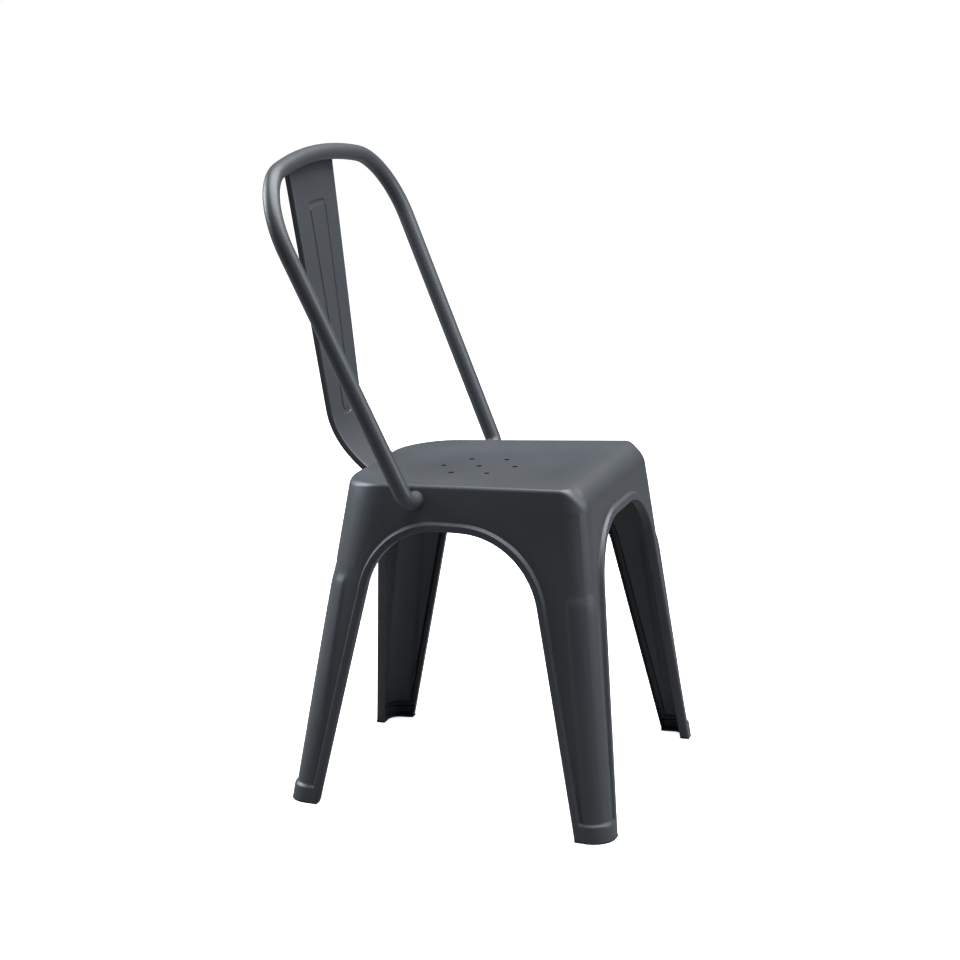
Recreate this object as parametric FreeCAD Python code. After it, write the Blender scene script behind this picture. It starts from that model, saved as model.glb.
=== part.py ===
import FreeCAD, Part
import math
import os

# Stacking bistro chair pressed from sheet steel, with a bent tube back.
# Millimetres. +Z is up, the sitter faces -Y and +X is the sitter's left.
# The origin is on the floor, below the middle of the chair's box.

V = FreeCAD.Vector

# Overall
back_height = 851.0

# Pressed sheet
sheet = 1.6
lap_depth = 12.0
lap_step = 4.0

# Body formed by the four legs and the seat's skirt, at the floor
floor_front = 233.5
floor_rear = 213.5
floor_half_width = 230.5
floor_side_taper = 0.1034
floor_corner_radius = 24.0

# The same body at the height where the seat is measured
seat_level = 430.0
seat_front = 187.5
seat_rear = 154.5
seat_half_width = 164.0
seat_side_taper = 0.067
seat_front_corner_radius = 30.0
seat_rear_corner_radius = 78.0

# Seat pan
rim_height = 432.3
rim_slope = 0.032
skirt_depth = 31.0
side_edge_radius = 5.0
front_edge_radius = 28.0
rear_edge_radius = 11.0
dish_depth = 6.0
rim_flat = 6.0
rear_rim_flat = 12.0
dish_run = 60.0
dish_shape = ((0.0, 0.0), (0.15, 0.06), (0.4, 0.36), (0.7, 0.8), (1.0, 1.0))
drain_hole_diameter = 8.0
drain_hole_pitch = 50.0
drain_hole_count = 6
drain_centre_y = 3.6

# Pressed bead round the free edges of each leg, with its returned lip
bead_proud = 5.0
bead_width = 12.0
bead_slope = 3.0
lip_depth = 12.5

# Rib on each leg's corner
rib_proud = 2.0
rib_reach = 32.0
rib_top = 300.0

# Band round each foot
band_top = 27.0
band_ledge = 7.0

# Arches between the legs, measured on the outside of the sheet
side_arch_front = 191.7
side_arch_front_lean = 0.211
side_arch_front_radius = 109.0
side_arch_rear = 174.5
side_arch_rear_lean = 0.230
side_arch_rear_radius = 101.0
side_arch_crown = 374.0
front_arch = 192.8
front_arch_lean = 0.217
front_arch_crown = 381.0
front_arch_radius = 93.0
rear_arch = 146.0
rear_arch_lean = 0.27
rear_arch_crown = 370.0
rear_arch_radius = 50.0
side_seam_y = -20.0

# Rubber glides under the feet
glide_base = 3.0
glide_wall = 3.0
glide_height = 15.0

# Back hoop, a bent round tube
tube_diameter = 22.0
tube_wall = 1.5
hoop_half_width = 185.3
hoop_splay = 0.102
hoop_y = 46.3
hoop_lean = 0.433
hoop_corner_radius = 97.0
hoop_crown_radius = 780.0
hoop_entry_height = 413.0
hoop_foot_radius = 18.0
hoop_bore_clearance = 0.2
hoop_end_inside = 6.0

# Back splat, a sheet slat with folded flanges
splat_y = 182.0
splat_lean = 0.124
splat_top = back_height - 18.0
splat_top_width = 153.0
splat_foot_width = 99.0
splat_flange = 8.0
splat_bend_height = 505.0
splat_foot_sweep = 0.55
loop_top = 778.5
loop_foot = 491.0
loop_top_width = 61.0
loop_foot_width = 33.0
loop_corner_radius = 12.0
loop_groove_width = 7.0
loop_groove_depth = 1.5

# Cross brace under the seat
brace_width = 25.0
brace_thickness = 3.0
brace_height = 373.0

# Cutters run past the metal: sideways, under the floor and through a sheet
far = 400.0
past_edge = 20.0
past_floor = 1.0
past_sheet = 2.0
arch_start = -10.0
arch_foot_radius = 2.0
same_height = 0.05

os.makedirs("parts", exist_ok=True)
drawing = FreeCAD.newDocument("chair")


def blend(low, high, z):
    """Value at height z of a size that changes evenly from floor to seat level."""
    return low + (high - low) * z / seat_level


def front_line(z):
    return -blend(floor_front, seat_front, z)


def rear_line(z):
    return blend(floor_rear, seat_rear, z)


def side_at(y, z):
    """Outer half width of the body at a place along its side."""
    low = floor_half_width - floor_side_taper * (y + floor_front)
    high = seat_half_width - seat_side_taper * (y + seat_front)
    return blend(low, high, z)


def rim_at(y):
    return rim_height - rim_slope * (y - drain_centre_y)


def rounded_wire(points, radii):
    """Closed wire through flat corner points, each rounded by a tangent arc."""
    edges = []
    starts = []
    ends = []
    count = len(points)
    for i in range(count):
        corner = points[i]
        back = (points[i - 1] - corner).normalize()
        ahead = (points[(i + 1) % count] - corner).normalize()
        half = back.getAngle(ahead) / 2
        reach = radii[i] / math.tan(half)
        middle = (back + ahead).normalize()
        bulge = corner + middle * (radii[i] / math.sin(half) - radii[i])
        starts.append(corner + back * reach)
        ends.append(corner + ahead * reach)
        edges.append(Part.Arc(starts[i], bulge, ends[i]).toShape())
    outline = []
    for i in range(count):
        outline.append(edges[i])
        outline.append(Part.makeLine(ends[i], starts[(i + 1) % count]))
    return Part.Wire(outline)


def body_wire(z_of_y, out, inset=(0, 0, 0), draw=0.0):
    """Section of the body on a level or tilted plane, grown outward by out.

    inset draws it in at the sides, the front and the rear, and draw tightens
    its corners."""
    side_in, front_in, rear_in = inset
    y_front = front_line(z_of_y(-seat_front)) - out + front_in
    y_rear = rear_line(z_of_y(seat_rear)) + out - rear_in
    corners = []
    for sign, y in ((1, y_front), (1, y_rear), (-1, y_rear), (-1, y_front)):
        z = z_of_y(y)
        corners.append(V(sign * (side_at(y, z) + out - side_in), y, z))
    z_mid = z_of_y(0)
    front_radius = blend(floor_corner_radius, seat_front_corner_radius, z_mid) + out
    rear_radius = blend(floor_corner_radius, seat_rear_corner_radius, z_mid) + out - draw
    radii = [front_radius, rear_radius, rear_radius, front_radius]
    return rounded_wire(corners, radii)


def level(z):
    return lambda y: z


def under_rim(drop):
    return lambda y: rim_at(y) - drop


def body_block(out):
    """Solid body from the floor to the seam under the seat, grown outward by out."""
    low = body_wire(level(0), out)
    high = body_wire(under_rim(skirt_depth), out)
    return Part.makeLoft([low, high], True, True)


def band_cone(out):
    """Steep cone round the body, whose side is the sloped ledge of the foot band."""
    pitch = bead_proud / band_ledge
    high_z = band_top + band_ledge
    low = body_wire(level(-past_floor), (band_top + past_floor) * pitch + out)
    high = body_wire(level(high_z), (band_top - high_z) * pitch + out)
    return Part.makeLoft([low, high], True, True)


def below_plane(drop):
    """Everything under a plane that lies below the seat's rim by drop."""
    rear = rim_at(far) - drop
    front = rim_at(-far) - drop
    profile = [V(-far, -far, -far), V(-far, far, -far), V(-far, far, rear), V(-far, -far, front)]
    face = Part.Face(Part.makePolygon(profile + profile[:1]))
    return face.extrude(V(2 * far, 0, 0))


def side_plane_x(y, z):
    """Distance from the middle of the flat plane that lies closest to a side."""
    y_low = (floor_rear - floor_front) / 2
    y_high = (seat_rear - seat_front) / 2
    taper = (floor_side_taper + seat_side_taper) / 2
    return blend(side_at(y_low, 0), side_at(y_high, seat_level), z) - taper * (y - blend(y_low, y_high, z))


def side_arch_wire(sign, grow, out):
    """Outline of the side arch, grown by grow, drawn on a plane out of the side."""
    crown = side_arch_crown + grow
    flat = []
    for z in (arch_start, crown):
        flat.append((-side_arch_front + side_arch_front_lean * z - grow, z))
    for z in (crown, arch_start):
        flat.append((side_arch_rear - side_arch_rear_lean * z + grow, z))
    points = [V(sign * (side_plane_x(y, z) + out), y, z) for y, z in flat]
    front = side_arch_front_radius + grow
    rear = side_arch_rear_radius + grow
    return rounded_wire(points, [arch_foot_radius, front, rear, arch_foot_radius])


def end_arch_wire(sign, grow, out):
    """Outline of the front or rear arch on a plane out of that face."""
    if sign < 0:
        half_width, lean, crown, radius = front_arch, front_arch_lean, front_arch_crown, front_arch_radius
        face_y = front_line
    else:
        half_width, lean, crown, radius = rear_arch, rear_arch_lean, rear_arch_crown, rear_arch_radius
        face_y = rear_line
    points = []
    for side, z in ((-1, arch_start), (-1, crown + grow), (1, crown + grow), (1, arch_start)):
        x = side * (half_width - lean * z + grow)
        points.append(V(x, face_y(z) + sign * out, z))
    radius = radius + grow
    return rounded_wire(points, [arch_foot_radius, radius, radius, arch_foot_radius])


def arches(grow, slope=0.0):
    """All four arches as one cutter, narrower outward by slope."""
    cutter = None
    for wire in (side_arch_wire, end_arch_wire):
        for sign in (1, -1):
            deep = wire(sign, grow + slope * past_edge, -past_edge)
            proud = wire(sign, grow - slope * past_edge, past_edge)
            piece = Part.makeLoft([deep, proud], True, True)
            cutter = piece if cutter is None else cutter.fuse(piece)
    return cutter


def rib_column(sx, rear, reach):
    """Leaning column over one corner of the body, up to the rib's end."""
    wires = []
    for z in (0.0, rib_top - (rib_reach - reach)):
        y = rear_line(z) if rear else front_line(z)
        inward = -1 if rear else 1
        x = side_at(y, z)
        x_in = sx * (x - reach)
        x_out = sx * (x + reach)
        y_in = y + inward * reach
        y_out = y - inward * reach
        points = [V(x_in, y_in, z), V(x_out, y_in, z), V(x_out, y_out, z), V(x_in, y_out, z)]
        wires.append(Part.makePolygon(points + points[:1]))
    return Part.makeLoft(wires, True, True)


def corner_box(sx, rear, z_low, z_high):
    """Space round one leg between two heights."""
    y_low = side_seam_y if rear else -far
    y_high = far if rear else side_seam_y
    x_low = 0 if sx > 0 else -far
    return Part.makeBox(far, y_high - y_low, z_high - z_low, V(x_low, y_low, z_low))


outer_block = body_block(0)
inner_block = body_block(-sheet)
bead_block = body_block(bead_proud)
bead_inner = body_block(bead_proud - sheet)
lip_block = body_block(bead_proud - lip_depth)
glide_block = body_block(bead_proud - sheet - glide_wall)
rib_block = body_block(rib_proud)
rib_inner = body_block(rib_proud - sheet)
arch_cut = arches(0)
arch_lip = arches(sheet)
bead_pitch = bead_slope / bead_proud
bead_middle = bead_width - bead_slope / 2
raised = bead_block.common(arches(bead_middle, bead_pitch).fuse(band_cone(0)))
raised_inner = bead_inner.common(arches(bead_middle - sheet, bead_pitch).fuse(band_cone(-sheet)))
lip = bead_inner.common(arch_lip).cut(lip_block)


def leg(sx, rear):
    """One pressed leg with its half of each apron."""
    space = corner_box(sx, rear, glide_base, seat_level)
    skin = outer_block.common(space)
    skin = skin.fuse(raised.common(space))
    skin = skin.fuse(rib_block.common(rib_column(sx, rear, rib_reach)).common(space))
    under = corner_box(sx, rear, -past_floor, seat_level)
    hollow = inner_block.common(under)
    hollow = hollow.fuse(raised_inner.common(under))
    hollow = hollow.fuse(rib_inner.common(rib_column(sx, rear, rib_reach - sheet)))
    hollow = hollow.cut(lip)
    shape = skin.cut(hollow).cut(arch_cut)
    return shape.removeSplitter()


def glide(sx, rear):
    """Rubber glide that closes the open end of a foot."""
    base = bead_block.cut(lip_block).common(corner_box(sx, rear, 0, glide_base))
    wall = bead_inner.cut(glide_block).common(corner_box(sx, rear, glide_base, glide_height))
    shape = base.cut(arch_cut).fuse(wall.cut(arch_lip))
    return shape.removeSplitter()


def edge_radius_at(point, thickness):
    """Radius of the seat's rounded edge at one corner of its outline."""
    if point.y < front_line(point.z) + seat_front_corner_radius / 2:
        return front_edge_radius - thickness
    if point.y > rear_line(point.z) - seat_rear_corner_radius / 2:
        return rear_edge_radius - thickness
    return side_edge_radius - thickness


def seat_block(out, thickness):
    """Block from the seam up to the rim, its top edges rounded all the way round.

    The radius runs from large at the front to small at the sides."""
    rim = under_rim(thickness)
    block = Part.makeLoft([body_wire(under_rim(skirt_depth), out), body_wire(rim, out)], True, True)
    rounds = []
    for number, edge in enumerate(block.Edges, 1):
        first = edge.Vertexes[0].Point
        last = edge.Vertexes[-1].Point
        if abs(first.z - rim(first.y)) < same_height and abs(last.z - rim(last.y)) < same_height:
            rounds.append((number, edge_radius_at(first, thickness), edge_radius_at(last, thickness)))
    base = drawing.addObject("Part::Feature", "SeatBlock")
    base.Shape = block
    rounded = drawing.addObject("Part::Fillet", "SeatEdge")
    rounded.Base = base
    rounded.Edges = rounds
    drawing.recompute()
    return rounded.Shape.copy()


def dish(thickness):
    """Shallow dish pressed into the top of the seat.

    dish_shape gives the share of the depth reached at each share of the run."""
    sections = []
    for share, fall in dish_shape:
        draws = [
            side_edge_radius + rim_flat + dish_run * share,
            front_edge_radius + rim_flat + dish_run * share,
            rear_edge_radius + rear_rim_flat + dish_run * share,
        ]
        draw = (rear_edge_radius + dish_run * share) / 2
        sections.append(body_wire(under_rim(thickness + dish_depth * fall), 0, draws, draw))
    return Part.makeLoft(sections, True, True)


def skirt_step():
    """Step inside the skirt's foot that carries the pan in to the lap behind the legs."""
    seam = under_rim(skirt_depth)
    above = under_rim(skirt_depth - lap_step)
    outer = Part.makeLoft([body_wire(seam, -sheet / 2), body_wire(above, -sheet / 2)], True, True)
    inner = Part.makeLoft([body_wire(seam, -2 * sheet), body_wire(above, -2 * sheet)], True, True)
    return outer.cut(inner)


def seat_pan():
    """Pressed pan with its skirt, the lap behind the legs, the dish and drain holes."""
    outer = seat_block(0, 0).cut(dish(0))
    inner = seat_block(-sheet, sheet).cut(dish(sheet))
    pan = outer.cut(inner)
    lap = inner_block.cut(body_block(-2 * sheet)).cut(below_plane(skirt_depth + lap_depth))
    pan = pan.fuse([skirt_step(), lap])
    bore = drain_hole_diameter / 2
    base = V(0, drain_centre_y, rim_at(drain_centre_y) - 2 * dish_depth)
    depth = 2 * dish_depth
    pan = pan.cut(Part.makeCylinder(bore, depth, base))
    for i in range(drain_hole_count):
        angle = math.radians(i * 360 / drain_hole_count)
        offset = V(math.sin(angle), math.cos(angle), 0) * drain_hole_pitch
        pan = pan.cut(Part.makeCylinder(bore, depth, base + offset))
    reach = tube_diameter / 2 + hoop_bore_clearance
    entry = hoop_entry()
    pan = pan.cut(Part.makeCylinder(reach, 2 * far, V(-far, entry.y, entry.z), V(1, 0, 0)))
    return pan.removeSplitter()


def hoop_plane_point(x, d):
    """Point of the hoop's plane, x across and d up along it from seat level."""
    stretch = math.hypot(1, hoop_lean)
    return V(x, hoop_y + hoop_lean * d / stretch, seat_level + d / stretch)


def hoop_entry():
    """Point where the tube's leg line reaches the height of its entry."""
    drop = hoop_entry_height - seat_level
    x = hoop_half_width + hoop_splay * drop
    return V(x, hoop_y + hoop_lean * drop, hoop_entry_height)


def hoop_path():
    """Centre line of the hoop from one end inside the skirt to the other."""
    stretch = math.hypot(1, hoop_lean)
    splay = hoop_splay / stretch
    crown_z = back_height - tube_diameter / 2
    top = (crown_z - seat_level) * stretch
    centre_d = top - hoop_crown_radius
    wide = math.hypot(1, splay)
    k = hoop_half_width - hoop_corner_radius * wide
    a = splay * splay + 1
    b = 2 * (splay * k - centre_d)
    c = k * k + centre_d ** 2 - (hoop_crown_radius - hoop_corner_radius) ** 2
    corner_d = (-b + math.sqrt(b * b - 4 * a * c)) / (2 * a)
    corner_x = k + splay * corner_d
    low = (corner_x + hoop_corner_radius / wide, corner_d - hoop_corner_radius * splay / wide)
    length = math.hypot(corner_x, corner_d - centre_d)
    ux = corner_x / length
    ud = (corner_d - centre_d) / length
    high = (ux * hoop_crown_radius, centre_d + ud * hoop_crown_radius)
    a_low = math.atan2(low[1] - corner_d, low[0] - corner_x)
    a_high = math.atan2(high[1] - corner_d, high[0] - corner_x)
    a_mid = (a_low + a_high) / 2
    middle = (
        corner_x + hoop_corner_radius * math.cos(a_mid),
        corner_d + hoop_corner_radius * math.sin(a_mid),
    )
    entry = hoop_entry()
    end_x = side_at(entry.y, entry.z) - hoop_end_inside
    up = (hoop_plane_point(*low) - entry).normalize()
    inward = V(-1, 0, 0)
    half = up.getAngle(inward) / 2
    reach = hoop_foot_radius / math.tan(half)
    bisector = (up + inward).normalize()
    foot_mid = entry + bisector * (hoop_foot_radius / math.sin(half) - hoop_foot_radius)
    foot_up = entry + up * reach
    foot_in = entry + inward * reach
    end = V(end_x, entry.y, entry.z)
    low_p = hoop_plane_point(*low)
    mid_p = hoop_plane_point(*middle)
    high_p = hoop_plane_point(*high)

    def mirror(p):
        return V(-p.x, p.y, p.z)

    crown = hoop_plane_point(0, top)
    edges = [
        Part.makeLine(end, foot_in),
        Part.Arc(foot_in, foot_mid, foot_up).toShape(),
        Part.makeLine(foot_up, low_p),
        Part.Arc(low_p, mid_p, high_p).toShape(),
        Part.Arc(high_p, crown, mirror(high_p)).toShape(),
        Part.Arc(mirror(high_p), mirror(mid_p), mirror(low_p)).toShape(),
        Part.makeLine(mirror(low_p), mirror(foot_up)),
        Part.Arc(mirror(foot_up), mirror(foot_mid), mirror(foot_in)).toShape(),
        Part.makeLine(mirror(foot_in), mirror(end)),
    ]
    return Part.Wire(edges)


def tube_length(edge, radius):
    """Round bar of a radius along one straight or bent edge of the path."""
    start = edge.valueAt(edge.FirstParameter)
    along = edge.tangentAt(edge.FirstParameter)
    disc = Part.Face(Part.Wire(Part.makeCircle(radius, start, along)))
    if isinstance(edge.Curve, Part.Line):
        return disc.extrude(along * edge.Length)
    turn = math.degrees(edge.Length / edge.Curve.Radius)
    inward = edge.Curve.Center - start
    return disc.revolve(edge.Curve.Center, along.cross(inward).normalize(), turn)


def back_hoop():
    """Round tube along the path, as straight and bent lengths joined end to end."""
    lengths = []
    for edge in hoop_path().Edges:
        bar = tube_length(edge, tube_diameter / 2)
        lengths.append(bar.cut(tube_length(edge, tube_diameter / 2 - tube_wall)))
    shape = lengths[0].fuse(lengths[1:])
    return shape.removeSplitter()


def splat_ribbon(near, deep):
    """Thick ribbon between two depths behind the splat's face, from top to foot."""
    slope = math.atan(splat_lean)
    inward = V(0, math.cos(slope), -math.sin(slope))
    down = V(0, -math.sin(slope), -math.cos(slope))
    top = V(0, splat_y + splat_lean * (splat_top - seat_level), splat_top)
    bend = V(0, splat_y + splat_lean * (splat_bend_height - seat_level), splat_bend_height)
    foot_y = rear_line(seat_level) - rear_edge_radius
    foot = V(0, foot_y, rim_at(foot_y))
    sweep = down * ((bend.z - foot.z) * splat_foot_sweep)
    sides = []
    for depth in (near, deep):
        back = inward * depth
        curve = Part.BezierCurve()
        curve.setPoles([bend + back, bend + back + sweep, foot + V(0, depth, 0)])
        sides.append((top + back, bend + back, curve.toShape(), foot + V(0, depth, 0)))
    face_side, back_side = sides
    edges = [
        Part.makeLine(face_side[0], face_side[1]),
        face_side[2],
        Part.makeLine(face_side[3], back_side[3]),
        back_side[2],
        Part.makeLine(back_side[1], back_side[0]),
        Part.makeLine(back_side[0], face_side[0]),
    ]
    face = Part.Face(Part.Wire(Part.__sortEdges__(edges)))
    face.translate(V(-far, 0, 0))
    return face.extrude(V(2 * far, 0, 0))


def tapered_corners(half, low, high):
    """Four corners of a front view that widens evenly from low to high."""
    return [V(-half(low), 0, low), V(half(low), 0, low), V(half(high), 0, high), V(-half(high), 0, high)]


def splat_plate(trim):
    """Front view of the splat as a thick tapered plate, trimmed at both sides."""
    def half(z):
        share = (z - seat_level) / (splat_top - seat_level)
        return (splat_foot_width + (splat_top_width - splat_foot_width) * share) / 2 - trim

    points = tapered_corners(half, seat_level - past_edge, splat_top + past_edge)
    face = Part.Face(Part.makePolygon(points + points[:1]))
    return face.extrude(V(0, far, 0))


def loop_outline(grow):
    """Front view of the area inside the pressed loop's outer edge, grown by grow."""
    def half(z):
        share = (z - loop_foot) / (loop_top - loop_foot)
        return (loop_foot_width + (loop_top_width - loop_foot_width) * share) / 2 + grow

    points = tapered_corners(half, loop_foot - grow, loop_top + grow)
    face = Part.Face(rounded_wire(points, [loop_corner_radius + grow] * len(points)))
    return face.extrude(V(0, far, 0))


def back_splat():
    """Channel with a swept foot and a long groove pressed in its face as a loop."""
    channel = splat_ribbon(0, splat_flange).common(splat_plate(0))
    hollow = splat_ribbon(sheet, splat_flange + past_sheet).common(splat_plate(sheet))
    groove = loop_outline(0).cut(loop_outline(-loop_groove_width))
    ridge = loop_outline(sheet).cut(loop_outline(-loop_groove_width - sheet))
    shape = channel.cut(hollow)
    shape = shape.fuse(splat_ribbon(sheet, sheet + loop_groove_depth).common(ridge))
    shape = shape.cut(splat_ribbon(-past_sheet, loop_groove_depth).common(groove))
    return shape.removeSplitter()


def brace(sx, z):
    """Flat bar from one front corner to the rear corner across from it."""
    front = V(sx * side_at(front_line(z), z), front_line(z), z)
    rear = V(-sx * side_at(rear_line(z), z), rear_line(z), z)
    along = rear - front
    length = along.Length
    bar = Part.makeBox(length, brace_width, brace_thickness, V(0, -brace_width / 2, 0))
    angle = math.degrees(math.atan2(along.y, along.x))
    bar.rotate(V(0, 0, 0), V(0, 0, 1), angle)
    bar.translate(front)
    return bar.common(inner_block)


nodes = {}
for sx, hand in ((1, "left"), (-1, "right")):
    for rear, end in ((False, "front"), (True, "rear")):
        nodes[f"leg_{end}_{hand}"] = leg(sx, rear)
        nodes[f"foot_glide_{end}_{hand}"] = glide(sx, rear)
nodes["seat_pan"] = seat_pan()
nodes["back_hoop"] = back_hoop()
nodes["back_splat"] = back_splat()
nodes["brace_bar_lower"] = brace(1, brace_height)
nodes["brace_bar_upper"] = brace(-1, brace_height + brace_thickness)

for name, shape in nodes.items():
    print(name, shape.isValid(), len(shape.Solids), round(shape.Volume), shape.BoundBox)
    shape.exportStep(f"parts/{name}.step")
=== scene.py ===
"""Looks of a stacking bistro chair, pressed from sheet steel with a bent tube back.

Metres. +Z is up, the sitter faces -Y and +X is the sitter's left.
"""

import math

import bmesh
import bpy
from mathutils import Matrix, Vector


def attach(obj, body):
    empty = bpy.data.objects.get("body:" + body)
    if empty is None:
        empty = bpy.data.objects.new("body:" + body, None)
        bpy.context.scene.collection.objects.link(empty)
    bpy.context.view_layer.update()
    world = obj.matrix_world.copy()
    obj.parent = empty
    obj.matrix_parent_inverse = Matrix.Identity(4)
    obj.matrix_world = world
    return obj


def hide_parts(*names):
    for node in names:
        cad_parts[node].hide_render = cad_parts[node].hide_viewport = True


bl_info = {
    "name": "Bistro chair",
    "version": (1, 0, 0),
    "blender": (4, 5, 0),
    "location": "View3D > Sidebar > Chair",
    "description": "Builds the visible pieces of a pressed steel bistro chair",
    "category": "Object",
}

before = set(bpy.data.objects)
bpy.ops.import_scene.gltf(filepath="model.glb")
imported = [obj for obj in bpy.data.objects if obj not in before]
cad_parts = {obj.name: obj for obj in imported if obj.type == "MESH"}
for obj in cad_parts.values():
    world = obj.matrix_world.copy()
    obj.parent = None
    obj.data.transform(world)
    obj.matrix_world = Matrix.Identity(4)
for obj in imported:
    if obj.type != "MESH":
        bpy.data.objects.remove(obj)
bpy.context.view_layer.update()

ROOT = "root"
MM = 0.001
# Places of a pressed bead's columns, in mm from the arch's edge: closest over its slope.
BEAD_COLUMNS = (4, 6, 7.5, 8.3, 9, 9.7, 10.4, 11.1, 11.8, 12.5, 13.5)
# How the rays over the crown share out along the upper seam: evenly, and by the arch's edge.
SEAM_EVENLY = 0.675
SEAM_BY_EDGE = 0.325
# Depth of the drills that cut the drain holes.
DRILL_DEPTH = 0.02
WELD_DISTANCE = 0.02 * MM


def length(name, description, default):
    """Property for a size in metres."""
    return bpy.props.FloatProperty(
        name=name, description=description, default=default, unit="LENGTH", precision=4
    )


def ratio(name, description, default):
    """Property for a slope or a share."""
    return bpy.props.FloatProperty(name=name, description=description, default=default, precision=4)


def colour(name, description, code):
    """Property for a colour, from an sRGB hex code."""
    return bpy.props.FloatVectorProperty(
        name=name, description=description, default=linear(code), subtype="COLOR", size=4, min=0, max=1
    )


def linear(code):
    """Scene linear RGBA of an sRGB hex code such as 3A3E44."""
    parts = [int(code[i : i + 2], 16) / 255 for i in (0, 2, 4)]
    return [c / 12.92 if c <= 0.04045 else ((c + 0.055) / 1.055) ** 2.4 for c in parts] + [1.0]


class ChairBody(bpy.types.PropertyGroup):
    """Sizes of the hollow body that the four legs and the seat's skirt form."""

    floor_front: length("Front at floor", "Reach of the body to the front at the floor", 0.2335)
    floor_rear: length("Rear at floor", "Reach of the body to the rear at the floor", 0.2135)
    floor_half_width: length("Half width at floor", "Half width at the front, at the floor", 0.2305)
    floor_side_taper: ratio("Side taper at floor", "How much the sides draw in to the rear", 0.1034)
    floor_corner: length("Corner radius at floor", "Radius of the leg's corner at the floor", 0.024)
    seat_level: length("Seat level", "Height where the seat's outline is measured", 0.430)
    seat_front: length("Seat front", "Reach of the seat to the front", 0.1875)
    seat_rear: length("Seat rear", "Reach of the seat to the rear", 0.1545)
    seat_half_width: length("Seat half width", "Half width of the seat at the front", 0.164)
    seat_side_taper: ratio("Seat side taper", "How much the seat's sides draw in to the rear", 0.067)
    front_corner: length("Front corner radius", "Radius of the seat's front corners", 0.030)
    rear_corner: length("Rear corner radius", "Radius of the seat's rear corners", 0.078)
    rim_height: length("Rim height", "Height of the seat's rim in the middle", 0.4323)
    rim_slope: ratio("Rim slope", "Fall of the seat towards the rear", 0.032)
    rim_middle: length("Rim middle", "Place along the seat where the rim's height is measured", 0.0036)
    skirt_depth: length("Skirt depth", "Height of the seat's skirt", 0.031)
    sheet: length("Sheet", "Thickness of the steel sheet", 0.0016)


class ChairLegs(bpy.types.PropertyGroup):
    """Sizes of the pressed legs and of the arches between them."""

    bead_proud: length("Bead height", "Height of the bead along the free edges", 0.005)
    bead_width: length("Bead width", "Width of the bead along the free edges", 0.012)
    bead_slope: length("Bead slope", "Width of the bead's inner slope", 0.0035)
    edge_radius: length("Edge radius", "Radius where the bead turns into its lip", 0.0022)
    lip_depth: length("Lip depth", "Depth of the lip behind the bead", 0.0125)
    rib_proud: length("Rib height", "Height of the rib on the leg's corner", 0.002)
    rib_reach: length("Rib reach", "Reach of the rib from the corner along each face", 0.032)
    rib_top: length("Rib top", "Height where the rib ends", 0.300)
    rib_slope: length("Rib slope", "Width of the rib's edge", 0.008)
    band_top: length("Band top", "Top of the band round the foot", 0.027)
    band_ledge: length("Band ledge", "Height of the band's sloped ledge", 0.007)
    foot_level: length("Foot level", "Height of the sheet's lower edge over the floor", 0.003)
    side_front: length("Side arch front", "Reach of the side arch to the front at the floor", 0.1917)
    side_front_lean: ratio("Side arch front lean", "Lean of the arch's front edge", 0.211)
    side_front_radius: length("Side arch front radius", "Radius of the arch's front corner", 0.109)
    side_rear: length("Side arch rear", "Reach of the side arch to the rear at the floor", 0.1745)
    side_rear_lean: ratio("Side arch rear lean", "Lean of the arch's rear edge", 0.230)
    side_rear_radius: length("Side arch rear radius", "Radius of the arch's rear corner", 0.101)
    side_crown: length("Side arch crown", "Height of the side arch", 0.374)
    side_seam: length("Side seam", "Place of the seam between front and rear leg", -0.020)
    front_half: length("Front arch half width", "Half width of the front arch at the floor", 0.1928)
    front_lean: ratio("Front arch lean", "Lean of the front arch's edges", 0.217)
    front_crown: length("Front arch crown", "Height of the front arch", 0.381)
    front_radius: length("Front arch radius", "Radius of the front arch's corners", 0.093)
    rear_half: length("Rear arch half width", "Half width of the rear arch at the floor", 0.146)
    rear_lean: ratio("Rear arch lean", "Lean of the rear arch's edges", 0.27)
    rear_crown: length("Rear arch crown", "Height of the rear arch", 0.370)
    rear_radius: length("Rear arch radius", "Radius of the rear arch's corners", 0.050)


class ChairSeat(bpy.types.PropertyGroup):
    """Sizes of the pressed seat."""

    side_edge: length("Side edge radius", "Radius of the seat's edge at the sides", 0.005)
    front_edge: length("Front edge radius", "Radius of the seat's edge at the front", 0.028)
    rear_edge: length("Rear edge radius", "Radius of the seat's edge at the rear", 0.011)
    dish_depth: length("Dish depth", "Depth of the shallow dish", 0.006)
    rim_flat: length("Rim flat", "Flat width between the edge and the dish", 0.006)
    rear_rim_flat: length("Rear rim flat", "The same at the rear", 0.012)
    dish_run: length("Dish run", "Width of the dish's slope", 0.060)
    hole_radius: length("Hole radius", "Radius of a drain hole", 0.004)
    hole_pitch: length("Hole pitch", "Radius of the circle of drain holes", 0.050)
    hole_count: bpy.props.IntProperty(name="Holes", description="Drain holes round the middle one", default=6)


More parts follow.
